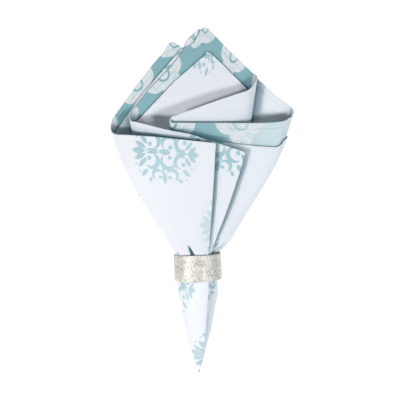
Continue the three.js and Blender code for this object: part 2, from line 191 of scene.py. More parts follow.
def hermite_weights(f):
    """Weights of the first value and slope and of the second ones, at a share f of the way."""
    return 2 * f**3 - 3 * f**2 + 1, f**3 - 2 * f**2 + f, -2 * f**3 + 3 * f**2, f**3 - f**2


def smooth_curve(xs, ys, x):
    """Smooth curve through points at xs, flat outside them, without overshoot."""
    xs, ys, x = np.asarray(xs, float), np.asarray(ys, float), np.asarray(x, float)
    step = np.diff(xs)
    slope = np.diff(ys) / step
    same = slope[1:] * slope[:-1] > 0
    inner = np.where(same, 2 * slope[1:] * slope[:-1] / np.where(same, slope[1:] + slope[:-1], 1), 0)
    at_points = np.concatenate([[slope[0]], inner, [slope[-1]]])
    i = np.clip(np.searchsorted(xs, x) - 1, 0, len(xs) - 2)
    first, first_slope, last, last_slope = hermite_weights(np.clip((x - xs[i]) / step[i], 0, 1))
    return (first * ys[i] + first_slope * step[i] * at_points[i]
            + last * ys[i + 1] + last_slope * step[i] * at_points[i + 1])


def roll_at(y, name):
    return smooth_curve(ROLL["y"], ROLL[name], y)


def spread_at(y, name):
    return smooth_curve(SPREAD["y"], SPREAD[name], y)


def along_lines(pair, name, line):
    """Value of a pair's column at line numbers that need not be whole."""
    values = np.asarray(pair[name], float)
    line = np.asarray(line, float)
    i = np.clip(np.floor(line).astype(int), 0, LAST_LINE - 1)
    before, start, end, after = (values[np.clip(i + k, 0, LAST_LINE)] for k in (-1, 0, 1, 2))
    first, first_slope, last, last_slope = hermite_weights(line - i)
    return (first * start + first_slope * ((end - before) / 2)
            + last * end + last_slope * ((after - start) / 2))


def unit(vectors):
    return vectors / np.linalg.norm(vectors, axis=-1, keepdims=True)


def right_of(direction):
    return np.stack([direction[..., 1], -direction[..., 0]], -1)


def add_object(name, data):
    added = bpy.data.objects.new(name, data)
    bpy.context.collection.objects.link(added)
    return added


def add_mesh(name, bm):
    mesh = bpy.data.meshes.new(name)
    bm.to_mesh(mesh)
    bm.free()
    return add_object(name, mesh)


# ---- The folded cloth ----
def rolled(angle, y, depth):
    """Cloth in the roll, in the XZ plane at height y, at an angle and a depth under its outside."""
    y = np.minimum(y, GRIP_TOP)
    middle = np.stack([roll_at(y, "x"), roll_at(y, "z")], -1)
    radius, dive_from = roll_at(y, "radius"), roll_at(y, "dive")

    def at(degrees):
        r = radius - DIVE_DEPTH * ease((degrees - dive_from) / (DIVE_TO - dive_from))
        turn = np.radians(degrees) * np.ones_like(r)
        return middle + r[..., None] * np.stack([np.cos(turn), np.sin(turn)], -1)

    outwards = right_of(unit(at(angle + 0.5) - at(angle - 0.5)))
    return at(angle) - depth * outwards


def pair_points(pair, line, y):
    """The surface midway between the two layers of a pair."""
    depth = PITCH / 2 + LAYER_ROOM / 2 + pair["depth"]
    in_ring = rolled(along_lines(pair, "angle", line), y, depth)
    across = mix(spread_at(y, "left"), spread_at(y, "right"), ease((line - BACK_FROM) / BACK_LINES))
    x = mix(in_ring[..., 0], along_lines(pair, "x", line), across)
    z = mix(in_ring[..., 1], along_lines(pair, "z", line), spread_at(y, "height"))
    opened = np.stack([x, np.maximum(z, depth)], -1)
    return np.where((y > GRIP_TOP)[..., None], opened, in_ring)


def segment_distance(x, y, a, b):
    """Distance to the segment from a to b, and how far along it the nearest point is."""
    ax, ay = a
    dx, dy = b[0] - ax, b[1] - ay
    along = np.clip(((x - ax) * dx + (y - ay) * dy) / (dx * dx + dy * dy), 0, 1)
    return np.hypot(x - ax - along * dx, y - ay - along * dy), along


def crease_height(line, x, y):
    """How far the creases stand out, and the distance to the pucker's line with the place along it."""
    left = 1 - ease((line - LEFT_WING_END) / WING_FADE)
    right = ease((line - RIGHT_WING_START) / WING_FADE)
    height = np.zeros_like(x)
    for part, a, b, width, start, end in CREASES:
        distance, along = segment_distance(x, y, a, b)
        on_wing = left if part == "left wing" else right
        height += mix(start, end, along) * np.exp(-((distance / width) ** 2)) * on_wing
    height *= ease((y - CREASE_FOOT) / CREASE_RISE)
    distance, along = segment_distance(x, y, PUCKER_TOP, PUCKER_FOOT)
    return height, distance, along


def layer_points(quarter, line, y):
    """Middle of one layer of cloth, with the direction in which the line number grows."""
    pair = quarter["pair"]
    before = pair_points(pair, np.maximum(line - LINE_STEP, 0), y)
    after = pair_points(pair, np.minimum(line + LINE_STEP, LAST_LINE), y)
    direction = unit(after - before)
    outwards = right_of(direction)
    place = pair_points(pair, line, y)
    height, distance, along = crease_height(line, place[..., 0], y)
    width = mix(PUCKER_TOP_WIDTH, PUCKER_WIDTH, along) if pair is OUTER_PAIR else PUCKER_ROOM
    facing_up = ease(outwards[..., 1] * 3)
    pucker = -PUCKER_DEPTH * ease(along * PUCKER_STEEP) * np.exp(-((distance / width) ** 2))
    pucker = pucker * facing_up * ease((y - PUCKER_START) / PUCKER_RISE)
    place = place + outwards * (quarter["side"] * PITCH / 2 + height + pucker)[..., None]
    place[..., 1] = np.maximum(place[..., 1], LAYER_ROOM / 2)
    return place, direction


def hem_height(quarter, line):
    """Height at which a line of a quarter reaches its hem."""
    def meet(hem):
        hem_x, hem_y = np.array(hem, float).T
        y = np.full_like(line, HEM_SEARCH_FROM)
        for _ in range(HEM_ROUNDS):
            place, _direction = layer_points(quarter, line, y)
            y = (y + np.interp(place[..., 0], hem_x, hem_y)) / 2
        return y

    left, back, right = meet(quarter["left"]), meet(quarter["back"]), meet(quarter["right"])
    to_back = ease((line - LEFT_FOLD_LINES[0]) / (LEFT_FOLD_LINES[1] - LEFT_FOLD_LINES[0]))
    to_right = ease((line - RIGHT_FOLD_LINES[0]) / (RIGHT_FOLD_LINES[1] - RIGHT_FOLD_LINES[0]))
    return mix(mix(left, back, to_back), right, to_right)


def bend_lines(quarter):
    """Line numbers whose cloth passes through the bends of the back hem."""
    bends = np.array(quarter["back"][1:-1], float)
    low = np.full(len(bends), LEFT_FOLD_LINES[1])
    high = np.full(len(bends), RIGHT_FOLD_LINES[0])
    for _ in range(BEND_ROUNDS):
        middle = (low + high) / 2
        place, _direction = layer_points(quarter, middle, bends[:, 1])
        short = place[:, 0] < bends[:, 0]
        low, high = np.where(short, middle, low), np.where(short, high, middle)
    return (low + high) / 2


def column_lines(quarter):
    even = [line + i / count for line, count in enumerate(quarter["steps"]) for i in range(count)]
    even.append(float(LAST_LINE))
    if quarter["pair"] is OUTER_PAIR:
        fine = np.linspace(*PUCKER_LINES, PUCKER_COLUMNS)
        even = [line for line in even if not fine[0] < line < fine[-1]] + list(fine)
    bends = bend_lines(quarter)
    clear = [line for line in even if line in (0, LAST_LINE) or np.min(np.abs(bends - line)) > BEND_ROOM]
    lines = np.sort(np.array([*clear, *bends]))
    return lines[np.concatenate([[True], np.diff(lines) > LEAST_STEP])]


# Heights of the rows of points under the level where the four hems start, and from there to each hem. The
# last few follow the turned hem.
LEVEL_TOP = 206.0
LEVEL_ROWS = np.concatenate([
    [0, 0.6, 1.6, 3, 5, 7.5, 10.5, 14, 18, 22.5, 27.5, 33, 38.5, 44, FUSED_TIP],
    np.linspace(55, 95, 9), [99, 104, 109, 113.5, 117, 119.5],
    np.linspace(121, 141, 17), np.linspace(143, LEVEL_TOP, 24)])
HEM_SHARES = np.linspace(0, 1, 26)[1:]
HEM_STEPS = np.array([10.0, 8.6, 7.6, 6.8, 6, 4.4, 2.4, 0.9, 0])


def row_heights(end):
    first = np.tile(LEVEL_ROWS, (len(end), 1))
    run = end - HEM_STEPS[0]
    between = mix(LEVEL_TOP, run[:, None], HEM_SHARES)
    last = end[:, None] - HEM_STEPS[1:]
    return np.hstack([first, between, last])


def with_tip(points_at, y):
    """Points at heights y; under the fused height the section there shrinks towards the tip."""
    place, outwards = points_at(np.maximum(y, FUSED_TIP))
    middle = lambda at: np.stack([roll_at(at, "x"), roll_at(at, "z")], -1)
    fused_middle = middle(np.float64(FUSED_TIP))
    share = np.where(y < FUSED_TIP, roll_at(y, "radius") / roll_at(np.float64(FUSED_TIP), "radius"), 1)
    tip = (place - fused_middle) * share[..., None] + middle(y)
    return np.where((y < FUSED_TIP)[..., None], tip, place), outwards, share


def quarter_columns(quarter, travel):
    lines = column_lines(quarter)[::travel]
    y = row_heights(hem_height(quarter, lines))

    def points_at(heights):
        place, direction = layer_points(quarter, lines[:, None] * np.ones_like(heights), heights)
        return place, right_of(direction) * travel

    return dict(line=lines, y=y, sheet=with_tip(points_at, y), quarter=quarter)


def fold_columns(before, after, line, count):
    """Columns round the fold that joins two quarters along a wing's edge: half a circle in each section."""
    out = -1 if line == 0 else 1
    share = (np.arange(count) + 1) / (count + 1)
    turn = np.pi * share[:, None, None]
    ends = [hem_height(quarter, np.array([float(line)]))[0] for quarter in (before, after)]
    y = row_heights(mix(ends[0], ends[1], share))

    def points_at(heights):
        at_line = np.full_like(heights, float(line))
        first, first_way = layer_points(before, at_line, heights)
        last, last_way = layer_points(after, at_line, heights)
        middle = (first + last) / 2
        half = first - middle
        stand = unit(first_way + last_way) * out * np.linalg.norm(half, axis=-1, keepdims=True)
        place = middle + half * np.cos(turn) + stand * np.sin(turn)
        travel = unit(stand * np.cos(turn) - half * np.sin(turn))
        return place, right_of(travel)

    return dict(line=np.full(count, float(line)), y=y, sheet=with_tip(points_at, y), quarter=None)


def cloth_loop():
    """The closed loop of cloth, in order of travel with the white face on the outside."""
    return [
        quarter_columns(FRONT_LEFT, 1), fold_columns(FRONT_LEFT, FRONT_RIGHT, LAST_LINE, WIDE_FOLD),
        quarter_columns(FRONT_RIGHT, -1), fold_columns(FRONT_RIGHT, BACK_RIGHT, 0, NARROW_FOLD),
        quarter_columns(BACK_RIGHT, 1), fold_columns(BACK_RIGHT, BACK_LEFT, LAST_LINE, NARROW_FOLD),
        quarter_columns(BACK_LEFT, -1), fold_columns(BACK_LEFT, FRONT_LEFT, 0, NARROW_FOLD),
    ]


def flat_positions(parts, place, y):
    """Where each point of the loop is on the open napkin, in millimetres from its middle.

    The tip is the middle of the napkin, and a column is a straight line from there to the hem. The columns'
    directions follow their spacing at the mouth, with the quarters' edges and corners where they belong."""
    row = np.argmin(np.abs(y - MOUTH_LEVEL), axis=1)
    at_mouth = place[np.arange(len(y)), row]
    spacing = np.linalg.norm(np.roll(at_mouth, -1, axis=0) - at_mouth, axis=1)
    travelled = np.concatenate([[0], np.cumsum(spacing)])
    starts = np.cumsum([0] + [len(part["line"]) for part in parts])
    known = []
    for i, part in enumerate(parts):
        first, last = starts[i], starts[i + 1] - 1
        if part["quarter"] is None:
            known.append((travelled[(first + last) // 2], 45.0 * (i + 1)))
        else:
            back = (part["line"] > LEFT_FOLD_LINES[1]) & (part["line"] < RIGHT_FOLD_LINES[0])
            corner = first + np.argmax(np.where(back, y[first:last + 1, -1], 0))
            known.append((travelled[corner], 45.0 * (i + 1)))
    length = travelled[-1]
    known = [(known[-1][0] - length, 0.0), *known]
    degrees = np.interp(travelled[:-1], *np.array(known).T)
    turn = np.radians(degrees)
    reach = FLAT_SIDE / 2 / np.maximum(np.abs(np.cos(turn)), np.abs(np.sin(turn)))
    steps = np.concatenate([np.diff(place, axis=1), np.diff(y, axis=1)[..., None]], -1)
    run = np.concatenate([np.zeros((len(y), 1)), np.cumsum(np.linalg.norm(steps, axis=-1), axis=1)], 1)
    from_middle = run / run[:, -1:] * reach[:, None]
    return from_middle[..., None] * np.stack([np.cos(turn), np.sin(turn)], -1)[:, None, :]


def to_table(points):
    """Napkin frame in millimetres to the scene's metres."""
    return (np.asarray(points, float) + (SHIFT_X, SHIFT_Y, 0)) / 1000


# Over the height, in millimetres: how far the right side stands in from the solid's (under 0, out), where
# that side is, and how far the tip swings to the left.
SIDE_HEIGHT = (24, 40, 56, 80, 88, 93, 119, 128, 143, 170, 195, 225)
SIDE_INWARDS = (0, -1.2, -2.6, -3.0, -2.0, 0, 0, 3.6, 5.6, 5.0, 3.0, 0)
SIDE_PLACE = (6, 8.5, 11.5, 16, 17, 19, 22, 27, 37, 55, 71, 88)
SWING_HEIGHT = (0, 60, 93)
SWING = (1.9, 0.9, 0)
RIM_WIDTH, RIM_DROP = 0.36, 0.16      # rounded edge of the hem: share of its thickness, and its corners' drop
LOWEST = 0.02                         # the cloth stays this far over the table


def draw_in(points):
    """The right side is a little flatter above the ring and fuller under it than on the solid."""
    x, y, z = points.T
    share = np.clip(x / np.interp(y, SIDE_HEIGHT, SIDE_PLACE), 0, 1.1) ** 3
    x = x - np.interp(y, SIDE_HEIGHT, SIDE_INWARDS) * share - np.interp(y, SWING_HEIGHT, SWING)
    return np.stack([x, y, z], -1)


def build_napkin():
    parts = cloth_loop()
    y = np.vstack([part["y"] for part in parts])
    place, outwards, share = (np.concatenate([part["sheet"][i] for part in parts]) for i in range(3))
    flat = flat_positions(parts, place, y)
    to_hem = FLAT_SIDE / 2 - np.max(np.abs(flat), axis=-1)
    half = (CLOTH + HEM * (1 - ease((to_hem - HEM_WIDTH + HEM_EASE / 2) / HEM_EASE))) / 2 * share
    columns, rows = y.shape

    def face(side):
        at = place + side * outwards * half[..., None]
        return np.stack([at[..., 0], y, np.maximum(at[..., 1], LOWEST)], -1)

    white, blue = face(1), face(-1)
    # The turned edge of the hem is rounded.
    edge_middle = np.stack([place[:, -1, 0], y[:, -1] + half[:, -1], place[:, -1, 1]], -1)
    through = white[:, -1] - blue[:, -1]
    edges = [edge_middle + through * side * RIM_WIDTH - (0, RIM_DROP, 0) for side in (1, 0, -1)]
    edges[1] = edges[1] + (0, RIM_DROP, 0)
    points = np.concatenate([white.reshape(-1, 3), blue.reshape(-1, 3), *edges])
    flat_all = np.concatenate([flat.reshape(-1, 2), flat.reshape(-1, 2), *[flat[:, -1]] * 3])

    number = np.arange(columns * rows).reshape(columns, rows)
    following = np.roll(number, -1, axis=0)
    white_faces = np.stack([number[:, :-1], number[:, 1:], following[:, 1:], following[:, :-1]], -1)
    blue_faces = white_faces[..., ::-1] + columns * rows
    strips = [number[:, -1]] + [2 * columns * rows + k * columns + np.arange(columns) for k in range(3)]
    strips.append(number[:, -1] + columns * rows)
    rim_faces = [np.stack([a, b, np.roll(b, -1), np.roll(a, -1)], -1) for a, b in zip(strips, strips[1:])]
    low, low_blue = number[:, 0], number[:, 0] + columns * rows
    tip_faces = np.stack([low_blue, low, np.roll(low, -1), np.roll(low_blue, -1)], -1)
    groups = [white_faces.reshape(-1, 4), *rim_faces, tip_faces, blue_faces.reshape(-1, 4)]
    faces = np.concatenate(groups)
    blue_count = len(groups[-1])

    mesh = bpy.data.meshes.new("napkin_cloth")
    mesh.from_pydata(to_table(draw_in(points)).tolist(), [], faces.tolist())
    sides = np.zeros(len(faces), int)
    sides[len(faces) - blue_count:] = 1
    mesh.polygons.foreach_set("material_index", sides)
    mesh.polygons.foreach_set("use_smooth", np.ones(len(faces), bool))
    layer = mesh.uv_layers.new(name="open_napkin")
    corners = np.empty(len(mesh.loops), int)
    mesh.loops.foreach_get("vertex_index", corners)
    layer.data.foreach_set("uv", (flat_all[corners] / FLAT_SIDE + 0.5).ravel())
    mesh.update()
    return add_object("napkin_cloth", mesh)


# ---- Node materials ----
class Field:
    """A number that varies over a surface, written as an expression."""

    def __init__(self, recipe, socket):
        self.recipe, self.socket = recipe, socket

    def _with(self, operation, *others):
        return self.recipe.math(operation, self, *others)

    def __add__(self, other):
        return self._with("ADD", other)

    def __radd__(self, other):
        return self._with("ADD", other)

    def __sub__(self, other):
        return self._with("SUBTRACT", other)

    def __rsub__(self, other):
        return self.recipe.math("SUBTRACT", other, self)

    def __mul__(self, other):
        return self._with("MULTIPLY", other)

    def __truediv__(self, other):
        return self._with("DIVIDE", other)

    def __neg__(self):
        return self._with("MULTIPLY", -1)

    def __abs__(self):
        return self._with("ABSOLUTE")


class Recipe:
    """One material and the nodes that make it up."""

    def __init__(self, name):
        self.material = bpy.data.materials.new(name)
        self.material.use_nodes = True
        self.tree = self.material.node_tree
        self.tree.nodes.clear()

    def node(self, kind, settings=None, sockets=None):
        node = self.tree.nodes.new(kind)
        for name, value in (settings or {}).items():
            setattr(node, name, value)
        for name, value in (sockets or {}).items():
            self.fill(node.inputs[name], value)
        return node

    def fill(self, socket, value):
        if isinstance(value, Field):
            self.tree.links.new(value.socket, socket)
        elif isinstance(value, bpy.types.NodeSocket):
            self.tree.links.new(value, socket)
        else:
            socket.default_value = value

    def math(self, operation, *values):
        node = self.node("ShaderNodeMath", {"operation": operation})
        for socket, value in zip(node.inputs, values):
            self.fill(socket, value)
        return Field(self, node.outputs[0])

    def vector(self, operation, *values):
        node = self.node("ShaderNodeVectorMath", {"operation": operation})
        for socket, value in zip(node.inputs, values):
            self.fill(socket, value)
        return node.outputs[0]

    def distance(self, place, point):
        node = self.node("ShaderNodeVectorMath", {"operation": "DISTANCE"})
        self.fill(node.inputs[0], place)
        node.inputs[1].default_value = (*point, 0.0)
        return Field(self, node.outputs["Value"])

    def join(self, x, y, z=0.0):
        return self.node("ShaderNodeCombineXYZ", sockets={"X": x, "Y": y, "Z": z}).outputs[0]

    def split(self, vector):
        node = self.node("ShaderNodeSeparateXYZ", sockets={"Vector": vector})
        return [Field(self, node.outputs[i]) for i in range(3)]

    def most(self, *fields):
        total = fields[0]
        for field in fields[1:]:
            total = self.math("MAXIMUM", total, field)
        return total

    def least(self, *fields):
        total = fields[0]
        for field in fields[1:]:
            total = self.math("MINIMUM", total, field)
        return total

    def step(self, value, low, high):
        """0 under low, 1 over high, smooth between."""
        node = self.node("ShaderNodeMapRange", {"interpolation_type": "SMOOTHSTEP"},
                         {"Value": value, "From Min": low, "From Max": high})
        return Field(self, node.outputs["Result"])

    def noise(self, place, scale, detail=2.0, roughness=0.5):
        node = self.node("ShaderNodeTexNoise", sockets={
            "Vector": place, "Scale": scale, "Detail": detail, "Roughness": roughness})
        return Field(self, node.outputs["Fac"])

    def blend(self, share, first, second):
        node = self.node("ShaderNodeMix", {"data_type": "RGBA"})
        self.fill(node.inputs[0], share)
        self.fill(node.inputs[6], first)
        self.fill(node.inputs[7], second)
        return node.outputs[2]

    def finish(self, shader, **sockets):
        for name, value in sockets.items():
            self.fill(shader.inputs[name.replace("_", " ")], value)
        self.node("ShaderNodeOutputMaterial", sockets={"Surface": shader.outputs[0]})
        return self.material


def colour(*rgb):
    return (*rgb, 1.0)


WHITE_CLOTH = colour(0.86, 0.88, 0.93)
MEDALLION_TEAL = colour(0.34, 0.56, 0.62)
BLUE_GROUND = colour(0.25, 0.455, 0.515)
MOTIF_WHITE = colour(0.80, 0.83, 0.86)
STIPPLE_TEAL = colour(0.36, 0.55, 0.60)
WHITE_SLUB, WHITE_STITCH = colour(0.80, 0.83, 0.89), colour(0.55, 0.62, 0.70)
BLUE_SLUB, BLUE_STITCH = colour(0.36, 0.57, 0.62), colour(0.16, 0.30, 0.36)
SILVER_DARK, SILVER_LIGHT = colour(0.42, 0.39, 0.335), colour(0.82, 0.80, 0.76)
PAINTED_LIGHT_BLUE = colour(0.72, 0.84, 0.87)
PAINTED_LIGHT_MIDDLE, PAINTED_LIGHT_RING = (112.0, -240.0), (20, 85)   # painted light: the blue ground is painted paler round this place, as a pool of light

# Narrow gaps are painted darker, because the lamps alone leave them lighter than the photograph. The tint
# multiplies the colour where little of the sky is open within this distance, in metres. It is full under
# the first share of CREVICE_SKY and ends at the second; under CREVICE_CORE it falls to CREVICE_LEFT, since
# the lamps leave the deepest places dark enough.
PAINTED_SHADE_TINT = (0.10, 0.29, 0.35)
CREVICE_DEPTH = 0.017
CREVICE_SKY, CREVICE_CORE, CREVICE_LEFT = (0.48, 0.97), (0.08, 0.45), 0.25


def open_napkin(recipe):
    """Where a point is on the open napkin, in millimetres from its middle."""
    uv = recipe.node("ShaderNodeUVMap", {"uv_map": "open_napkin"}).outputs[0]
    x, y, _z = recipe.split(uv)
    return (x - 0.5) * FLAT_SIDE, (y - 0.5) * FLAT_SIDE


def half_drop(recipe, x, y, strip, drop, start, shift=0.5):
    """Place in the nearest cell of a drop repeat, where every other strip is shifted."""
    across = (x - start[0]) / strip
    number = recipe.math("ROUND", across)
    odd = abs(recipe.math("MODULO", number, 2))
    down = (y - start[1]) / drop - odd * shift
    return (across - number) * strip, (down - recipe.math("ROUND", down)) * drop


def leaf(recipe, place, start, end, width):
    """Pointed leaf between two points: where two discs overlap."""
    length = math.dist(start, end)
    radius = (length**2 / 4 + width**2 / 4) / width
    away = radius - width / 2
    ux, uy = (end[0] - start[0]) / length, (end[1] - start[1]) / length
    mx, my = (start[0] + end[0]) / 2, (start[1] + end[1]) / 2
    sides = [radius - recipe.distance(place, (mx - s * uy * away, my + s * ux * away)) for s in (1, -1)]
    return recipe.least(*sides)


def disc(recipe, place, middle, radius):
    return radius - recipe.distance(place, middle)


def scroll(recipe, place, middle, radius, open_to, thick):
    """C-shaped scroll with pointed ends: a disc with a smaller one cut out towards open_to, in degrees."""
    turn = math.radians(open_to)
    inner = radius * 0.8
    shift = thick * MEDALLION_INK - (radius - inner)
    cut = (middle[0] + math.cos(turn) * shift, middle[1] + math.sin(turn) * shift)
    return recipe.least(disc(recipe, place, middle, radius), recipe.distance(place, cut) - inner)


MEDALLION_SIZE = 1.1
MEDALLION_INK = 1.25                  # how full the leaves and scrolls are drawn

# One half of the medallion, a palmette between scrolls. The other half mirrors it.
MEDALLION_LEAVES = [
    ((-33.5, 0), (-22.5, 0), 4.4), ((-24, 1.6), (-31, 7), 2.8), ((-21, 3.2), (-26.5, 11.6), 2.8),
    ((-22.5, 0.5), (-11, 1.6), 2.0), ((-7, 0), (5, 0), 4.4), ((4.5, 1), (18.5, 1.4), 2.0),
    ((19, 0), (33.5, 0), 4.6), ((18.4, 2.6), (30.4, 8.2), 3.6), ((17, 6), (25.6, 15), 3.6),
    ((-19, 14.8), (-26.4, 20.2), 3.0), ((15.6, 16.8), (22.6, 23.6), 3.4), ((-0.6, 18), (-1.6, 29.4), 3.8),
    ((-14, 23.4), (-19.6, 27.2), 2.4), ((11.6, 24), (15.2, 29), 2.4), ((-2, 13.4), (1.6, 19), 2.0),
]
MEDALLION_SCROLLS = [
    ((-16, 7.8), 6.4, 155, 3.0), ((-4.4, 9.2), 7.6, 250, 3.6), ((10.6, 9.4), 7.4, -30, 3.5),
    ((-9.4, 20), 5.8, 55, 2.8), ((6.4, 21), 5.4, 130, 2.7), ((24.6, 4.2), 2.8, 200, 1.4),
]
MEDALLION_DOTS = [
    ((-19.6, 10), 1.9), ((-6.2, 4.6), 2.0), ((14.2, 6.4), 2.1), ((-6.4, 23), 1.7), ((3.4, 23.6), 1.6),
    ((-27.6, 13.4), 0.9), ((28.6, 12.6), 1.0), ((24.4, 19.2), 1.0), ((-22.6, 24), 0.9), ((-10.4, 9), 1.2),
]
MEDALLION_STRIP, MEDALLION_DROP, MEDALLION_SHIFT = 70.0, 141.0, 0.46
MEDALLION_START = (96.0, 54.0)
# Where the print is weak or missing, and how much of it is left. Up to the first distance it is weak, and
# from the second on it isn't.
WEAK_RING = (38, 46)
WEAK_MEDALLIONS = [((96.0, 195.0), 0.0), ((-44.0, -228.0), 0.0), ((-184.0, 195.0), 0.0),
                   ((-254.0, 119.0), 0.0), ((166.0, -22.0), 0.45)]


def medallions(recipe, x, y):
    """1 on the printed medallions of the white face."""
    across, along = half_drop(recipe, x, y, MEDALLION_STRIP, MEDALLION_DROP, MEDALLION_START,
                              MEDALLION_SHIFT)
    place = recipe.join(along / MEDALLION_SIZE, abs(across) / MEDALLION_SIZE)
    shapes = [leaf(recipe, place, start, end, width * MEDALLION_INK)
              for start, end, width in MEDALLION_LEAVES]
    shapes += [scroll(recipe, place, *row) for row in MEDALLION_SCROLLS]
    shapes += [disc(recipe, place, *row) for row in MEDALLION_DOTS]
    ink = recipe.step(recipe.most(*shapes), -0.22, 0.22)
    for middle, left in WEAK_MEDALLIONS:
        near = 1 - recipe.step(recipe.distance(recipe.join(x, y), middle), *WEAK_RING)
        ink = ink * (1 - near * (1 - left))
    return ink


# The blue face: a common pattern of four-petalled flowers and small diamonds on a square grid that starts at
# the napkin's middle. Its motifs and their places aren't taken from the photograph.
FLOWER_STEP = 62.5                    # eight flowers along the napkin's side
PETAL_PLACE, PETAL_RADIUS = 11.5, 11.0
FLOWER_HEART, HEART_LINE = 5.0, 2.2
DIAMOND_HALF = 6.5


def flowers(recipe, x, y):
    """1 on the white motifs of the blue face."""
    across, along = half_drop(recipe, x, y, FLOWER_STEP, FLOWER_STEP, (0.0, 0.0), 0.0)
    across, along = abs(across), abs(along)
    place = recipe.join(across, along)
    petals = recipe.most(disc(recipe, place, (PETAL_PLACE, 0), PETAL_RADIUS),
                         disc(recipe, place, (0, PETAL_PLACE), PETAL_RADIUS))
    heart = disc(recipe, place, (0, 0), FLOWER_HEART)
    flower = recipe.most(heart, recipe.least(petals, -heart - HEART_LINE))
    corner = FLOWER_STEP / 2
    diamond = DIAMOND_HALF - (corner - across) - (corner - along)
    return recipe.step(recipe.most(flower, diamond), -0.3, 0.3)


def weave(recipe, x, y, thread):
    """Plain weave: two sets of threads that go over and under each other."""
    turn = 2 * math.pi / thread
    warp, weft = recipe.math("SINE", x * turn), recipe.math("SINE", y * turn)
    return abs(warp) * 0.5 + abs(weft) * 0.5 + warp * weft * 0.3


# Millimetres: from thread to thread, from stitch to stitch, and from the hem's edge to the stitches.
THREAD = 0.55
STITCH = 2.4
STITCH_LINE = 5.6
SLUB_ACROSS, SLUB_ALONG = 2.4, 0.12   # noise per millimetre: thick threads are narrow and long
WEAVE_BUMP, SLUB_BUMP, SOFT_BUMP, STITCH_BUMP = 0.035, 0.05, 0.5, 0.2


def cloth_surface(recipe, x, y):
    """Height of the weave, the slubs and the stitched hem in millimetres, and what tints the cloth."""
    uv = recipe.join(x, y)
    long_x = recipe.noise(recipe.join(x * SLUB_ACROSS, y * SLUB_ALONG), 1.0, 2.0)
    long_y = recipe.noise(recipe.join(x * SLUB_ALONG, y * SLUB_ACROSS), 1.0, 2.0)
    soft = recipe.noise(uv, 0.05, 3.0)
    to_hem = FLAT_SIDE / 2 - recipe.most(abs(x), abs(y))
    along_hem = recipe.math("SINE", (x + y) * (2 * math.pi / STITCH))
    beside_line = recipe.step(abs(to_hem - STITCH_LINE), 0.1, 0.55)
    stitch = (1 - beside_line) * (0.55 + recipe.step(along_hem, -0.5, 0.3) * 0.45)
    height = weave(recipe, x, y, THREAD) * WEAVE_BUMP + (long_x + long_y) * SLUB_BUMP
    height = height + soft * SOFT_BUMP - stitch * STITCH_BUMP
    return height, stitch, long_x + long_y - 1, soft


def cloth_shader(recipe, base, height, roughness):
    # Painted shade: where little sky is open nearby, the base colour is darkened and turned blue.
    occlusion = recipe.node("ShaderNodeAmbientOcclusion", {"samples": 8, "only_local": True},
                            {"Distance": CREVICE_DEPTH})
    open_sky = occlusion.outputs["AO"]
    deep = CREVICE_LEFT + recipe.step(open_sky, *CREVICE_CORE) * (1 - CREVICE_LEFT)
    painted_shade = (1 - recipe.step(open_sky, *CREVICE_SKY)) * deep
    shaded = recipe.vector("MULTIPLY", base, PAINTED_SHADE_TINT)
    base = recipe.blend(painted_shade, base, shaded)
    bump = recipe.node("ShaderNodeBump", sockets={"Strength": 0.55, "Distance": 0.001, "Height": height})
    shader = recipe.node("ShaderNodeBsdfPrincipled", sockets={
        "Sheen Weight": 0.12, "Sheen Roughness": 0.5, "Specular IOR Level": 0.25})
    return recipe.finish(shader, Base_Color=base, Roughness=roughness, Normal=bump.outputs[0])


def white_face():
    recipe = Recipe("white_printed_cotton")
    x, y = open_napkin(recipe)
    height, stitch, slub, soft = cloth_surface(recipe, x, y)
    ink = medallions(recipe, x, y)
    worn = recipe.noise(recipe.join(x, y), 0.9, 3.0, 0.6)
    faded = recipe.noise(recipe.join(x, y), 0.011, 1.0)
    ink = ink * (0.66 + recipe.step(worn, 0.3, 0.62) * 0.34)
    ink = ink * (0.72 + recipe.step(faded, 0.36, 0.56) * 0.28)
    ground = recipe.blend(recipe.step(slub, -0.5, 0.5) * 0.3, WHITE_CLOTH, WHITE_SLUB)
    printed = recipe.blend(ink, ground, MEDALLION_TEAL)
    base = recipe.blend(stitch * 0.35, printed, WHITE_STITCH)
    return cloth_shader(recipe, base, height, 0.82 + soft * 0.1)


def blue_face():
    recipe = Recipe("blue_printed_cotton")
    x, y = open_napkin(recipe)
    height, stitch, slub, soft = cloth_surface(recipe, x, y)
    motif = flowers(recipe, x, y)
    spots = recipe.noise(recipe.join(x, y), 0.85, 4.0, 0.72)
    patch = recipe.noise(recipe.join(x, y), 0.12, 2.0)
    stipple = recipe.step(spots + (patch - 0.5) * 0.35, 0.53, 0.6)
    light = recipe.blend(stipple * 0.62, MOTIF_WHITE, STIPPLE_TEAL)
    thread_tone = recipe.step(slub, -0.35, 0.4)
    ground = recipe.blend(thread_tone * 0.55, BLUE_GROUND, BLUE_SLUB)
    # Painted light: the blue ground turns paler round one place, standing in for light that falls there.
    from_painted_light = recipe.distance(recipe.join(x, y), PAINTED_LIGHT_MIDDLE)
    ground = recipe.blend((1 - recipe.step(from_painted_light, *PAINTED_LIGHT_RING)) * 0.85, ground, PAINTED_LIGHT_BLUE)
    printed = recipe.blend(motif, ground, light)
    base = recipe.blend(stitch * 0.4, printed, BLUE_STITCH)
    return cloth_shader(recipe, base, height, 0.84 + soft * 0.1)


